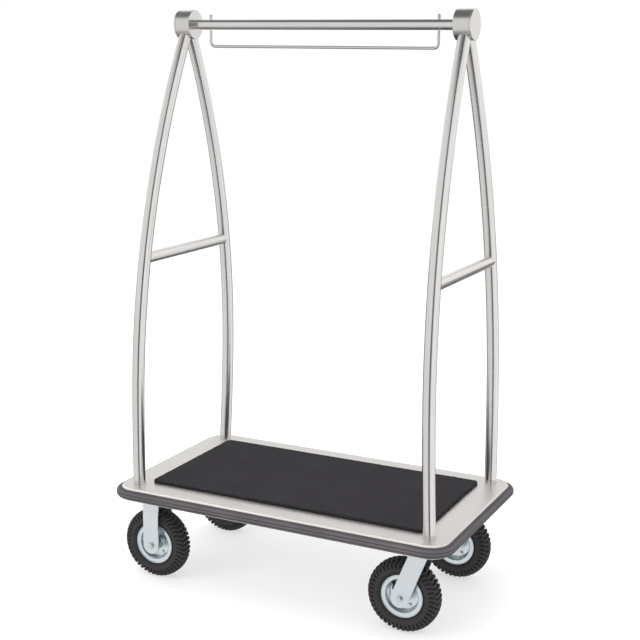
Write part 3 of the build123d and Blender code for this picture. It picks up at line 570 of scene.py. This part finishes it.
def needle_felt():
    """Charcoal needle felt: short fibres lie every way, a few of them pale, over a cloudy ground
    that is a little flattened where cases have stood."""
    made, tree, shader = new_material("needle_felt")
    where = place(tree)
    fibres = noise(tree, where, 700.0, 5.0, 0.75)
    clumps = noise(tree, where, 120.0, 3.0)
    clouds = noise(tree, where, 7.0, 4.0)
    pale = spread(tree, noise(tree, where, 260.0, 1.0), 0.0, 0.5, 0.74, 0.80)
    ground = blend_colour(tree, fibres, (0.010, 0.009, 0.0105, 1), (0.040, 0.036, 0.041, 1))
    flattened = spread(tree, clouds, 0.0, 0.30, 0.45, 0.75)
    worn = blend_colour(tree, flattened, ground, (0.044, 0.041, 0.045, 1))
    tree.links.new(blend_colour(tree, pale, worn, (0.16, 0.155, 0.15, 1)), shader.inputs["Base Color"])
    shader.inputs["Roughness"].default_value = 0.95
    shader.inputs["Specular IOR Level"].default_value = 0.05
    shader.inputs["Sheen Weight"].default_value = 0.03
    shader.inputs["Sheen Roughness"].default_value = 0.6
    height = node(tree, "Math", {0: fibres, 1: clumps}, operation="ADD").outputs[0]
    relief(tree, shader, height, 0.0009, 0.7)
    return made


def plywood():
    """Birch plywood: thin plies at the edge and long grain on the face."""
    made, tree, shader = new_material("plywood")
    grain = noise(tree, place(tree, (4.0, 90.0, 700.0)), 1.0, 4.0)
    colour = blend_colour(tree, grain, (0.42, 0.27, 0.14, 1), (0.66, 0.50, 0.31, 1))
    tree.links.new(colour, shader.inputs["Base Color"])
    tree.links.new(spread(tree, grain, 0.55, 0.8), shader.inputs["Roughness"])
    return made


carpet_piece = carpet()
carpet_piece.data.materials.append(needle_felt())
thickness = carpet_piece.modifiers.new("thickness", "SOLIDIFY")
thickness.thickness = carpet_thickness
thickness.offset = -1
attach(carpet_piece, "root")
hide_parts("carpet_cover")
finish(plywood(), "carpet_board")

# ---- end frames -------------------------------------------------------------------------
# Four bowed uprights of satin stainless tube stand on turned collars, bolted up from under
# the tray, and lean together under the hubs. A straight cross rail joins each pair.

deck_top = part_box("deck_pan")[1].z
hub_low, hub_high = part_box("hub_shell_right")
hub_middle = (hub_low + hub_high) / 2
bow_start = deck_top + 0.285
bow_bend = 0.234
foot_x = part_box("upright_right_front")[1].x
lean = (foot_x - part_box("hub_caps")[1].x) / (hub_middle.z - deck_top)


def along_upright(tree):
    """Place for streaks along a bowed tube: y is taken from the bow's parabola, y + bend (z -
    start)^2, and x from the lean, so that the streaks run true to the tube."""
    where = node(tree, "TexCoord").outputs["Object"]
    split = node(tree, "SeparateXYZ", {0: where})
    rise = node(tree, "Math", {0: split.outputs[2], 1: bow_start}, operation="SUBTRACT").outputs[0]
    rise = node(tree, "Math", {0: rise, 1: 0.0}, operation="MAXIMUM").outputs[0]
    square = node(tree, "Math", {0: rise, 1: rise}, operation="MULTIPLY").outputs[0]
    width = node(tree, "Math", {0: split.outputs[1]}, operation="ABSOLUTE").outputs[0]
    bow = node(tree, "Math", {0: square, 1: bow_bend, 2: width}, operation="MULTIPLY_ADD").outputs[0]
    length = node(tree, "Math", {0: split.outputs[0]}, operation="ABSOLUTE").outputs[0]
    leaning = {0: split.outputs[2], 1: lean, 2: length}
    leant = node(tree, "Math", leaning, operation="MULTIPLY_ADD").outputs[0]
    joined = node(tree, "CombineXYZ", {0: leant, 1: bow, 2: split.outputs[2]}).outputs[0]
    return node(tree, "Mapping", {"Vector": joined, "Scale": (900.0, 900.0, 7.0)}).outputs["Vector"]


def across_cart(tree):
    """Place for streaks along Y."""
    return place(tree, (900.0, 7.0, 900.0))


tube_light = (0.85, 0.83, 0.81, 1)
tube_dark = (0.71, 0.695, 0.68, 1)
upright_steel = satin_steel("upright_steel", along_upright, tube_light, tube_dark, 0.22, 0.06)
finish(upright_steel, *[f"upright_{end}_{side}" for end in ends for side in sides])
finish(upright_steel, "upright_collars", "upright_plugs")
end_rail_steel = satin_steel("end_rail_steel", across_cart, tube_light, tube_dark, 0.22, 0.06)
finish(end_rail_steel, "end_rail_left", "end_rail_right")
finish(bolt_zinc, "upright_bolts")

# ---- hubs -------------------------------------------------------------------------------
# Each hub is a stainless cup turned from bar: its web seats the top bar, a bolt inside pulls
# the bar home, and a flat cap with a fine chamfer closes the outer end.


def about_hub(tree):
    """Place for turning marks: streaks keep to rings about the top bar's axis."""
    where = node(tree, "TexCoord").outputs["Object"]
    split = node(tree, "SeparateXYZ", {0: where})
    rise = node(tree, "Math", {0: split.outputs[2], 1: hub_middle.z}, operation="SUBTRACT").outputs[0]
    flat = node(tree, "CombineXYZ", {0: 0.0, 1: split.outputs[1], 2: rise}).outputs[0]
    radius = node(tree, "VectorMath", {0: flat}, operation="LENGTH").outputs["Value"]
    joined = node(tree, "CombineXYZ", {0: split.outputs[0], 1: radius, 2: 0.0}).outputs[0]
    return node(tree, "Mapping", {"Vector": joined, "Scale": (1300.0, 1300.0, 1.0)}).outputs["Vector"]


hub_steel = satin_steel("hub_steel", about_hub, (0.79, 0.775, 0.755, 1), (0.64, 0.63, 0.615, 1), 0.25, 0.07)
finish(hub_steel, "hub_shell_left", "hub_shell_right", "hub_caps")
finish(bolt_zinc, "hub_tie_bolts")

# ---- top bar and hanger rail ------------------------------------------------------------
# A straight satin tube joins the hubs. A bent eight millimetre rod hangs under it for
# clothes hangers, and its threaded ends come up through the tube into small domed nuts.


def along_bar(tree):
    """Place for streaks along X."""
    return place(tree, (7.0, 900.0, 900.0))


finish(satin_steel("bar_steel", along_bar, tube_light, tube_dark, 0.22, 0.06), "top_bar", "top_bar_plugs")
rod_steel = satin_steel("rod_steel", along_bar, (0.78, 0.78, 0.775, 1), (0.62, 0.62, 0.615, 1), 0.20, 0.06)
finish(rod_steel, "hanger_rail", "hanger_rail_nuts")

# ---- studio -----------------------------------------------------------------------------
# A pale floor, a soft overhead light and a wide front light. The room round the cart is a
# pale tent with soft gaps between its panels, which the metal shows as darker bands.

camera_turn = math.radians(26.286)
camera_dip = math.radians(12.215)
camera_roll = math.radians(0.5385)
camera_place = (1.5741, -3.1703, 1.5605)
camera = bpy.data.objects.new("camera", bpy.data.cameras.new("camera"))
bpy.context.scene.collection.objects.link(camera)
camera.data.lens = 70.30
camera.data.sensor_width = 36.0
camera.data.clip_end = 60.0
facing = Matrix.Rotation(camera_turn, 4, "Z") @ Matrix.Rotation(math.pi / 2 - camera_dip, 4, "X")
rolled = facing @ Matrix.Rotation(camera_roll, 4, "Z")
camera.matrix_world = Matrix.Translation(camera_place) @ rolled
bpy.context.scene.camera = camera


def area_light(name, place_at, aim, size, power):
    """Square soft light at a place, turned to its aim. The metal doesn't mirror it."""
    lamp = bpy.data.lights.new(name, "AREA")
    lamp.size = size
    lamp.energy = power
    made = bpy.data.objects.new(name, lamp)
    bpy.context.scene.collection.objects.link(made)
    made.location = place_at
    made.rotation_mode = "QUATERNION"
    made.rotation_quaternion = (Vector(aim) - Vector(place_at)).to_track_quat("-Z", "Y")
    made.visible_glossy = False


area_light("overhead", (-0.4, -0.6, 4.2), (0, 0, 0.6), 3.2, 60)
area_light("front", (-2.6, -3.4, 2.4), (0, 0, 0.7), 2.0, 45)


facing_camera = camera_turn - math.pi / 2
# Brightness by height, which runs from 0 straight down to 1 straight up.
tent_levels = (
    (0.0, 0.20), (0.10, 0.45), (0.20, 0.95), (0.50, 1.0), (0.80, 0.98), (0.88, 0.22), (1.0, 0.16),
)
# Each gap's heading, half its width where it is darkest and where it ends, its brightness, and
# how high it reaches.
tent_gaps = (
    (facing_camera, math.radians(7), math.radians(19), 0.10, 1.0),
    (facing_camera + math.pi, math.radians(40), math.radians(60), 0.12, -0.03),
    (facing_camera - math.radians(75), math.radians(30), math.radians(75), 0.85, 1.0),
)


def tent():
    """Room light. Seen directly, and by matt surfaces, it is plain white. Metal sees white walls
    with gaps between them: a dark one where the camera stands, one opposite it that stays below
    the horizon, and a faint wide one to its left, under a dark ceiling and over a darker floor."""
    world = bpy.data.worlds.new("tent")
    bpy.context.scene.world = world
    world.use_nodes = True
    tree = world.node_tree
    split = node(tree, "SeparateXYZ", {0: node(tree, "TexCoord").outputs["Generated"]})
    turn = node(tree, "Math", {0: split.outputs[1], 1: split.outputs[0]}, operation="ARCTAN2").outputs[0]
    wall = node(tree, "ValToRGB", {"Fac": spread(tree, split.outputs[2], 0.0, 1.0, -1.0, 1.0)})
    wall.color_ramp.elements.remove(wall.color_ramp.elements[1])
    for at, level in tent_levels:
        stop = wall.color_ramp.elements.new(at) if at > 0 else wall.color_ramp.elements[0]
        stop.color = (level, level, level, 1)
    light = wall.outputs["Color"]
    for heading, narrow, wide, dark, top in tent_gaps:
        offset = node(tree, "Math", {0: turn, 1: -heading}, operation="ADD").outputs[0]
        near = node(tree, "Math", {0: offset}, operation="COSINE").outputs[0]
        gap = spread(tree, near, 1.0, dark, math.cos(wide), math.cos(narrow))
        above = spread(tree, split.outputs[2], 0.0, 1.0, top - 0.1, top)
        gap = node(tree, "Math", {0: gap, 1: above}, operation="MAXIMUM").outputs[0]
        light = node(tree, "Math", {0: light, 1: gap}, operation="MULTIPLY").outputs[0]
    glossy = node(tree, "LightPath").outputs["Is Glossy Ray"]
    mixed = node(tree, "Mix", {0: glossy, 2: 1.0, 3: light}, data_type="FLOAT").outputs[0]
    tree.links.new(mixed, tree.nodes["Background"].inputs["Color"])


tent()


floor_half = 9.0


def pale_floor():
    """Matt white studio floor with a faint mottle. It glows a little, so that it meets the tent."""
    line = np.linspace(-floor_half, floor_half, 3)
    x, y = np.meshgrid(line, line, indexing="ij")
    made = surface("floor", np.stack([x, y, np.zeros_like(x)], -1))
    paint, tree, shader = new_material("floor_paint")
    mottle = noise(tree, place(tree), 1.5, 3.0)
    colour = blend_colour(tree, mottle, (0.50, 0.50, 0.50, 1), (0.53, 0.53, 0.53, 1))
    tree.links.new(colour, shader.inputs["Base Color"])
    shader.inputs["Roughness"].default_value = 0.9
    shader.inputs["Emission Color"].default_value = (1, 1, 1, 1)
    shader.inputs["Emission Strength"].default_value = 0.55
    made.data.materials.append(paint)
    made.visible_glossy = False


pale_floor()
bpy.context.scene.view_settings.view_transform = "Standard"
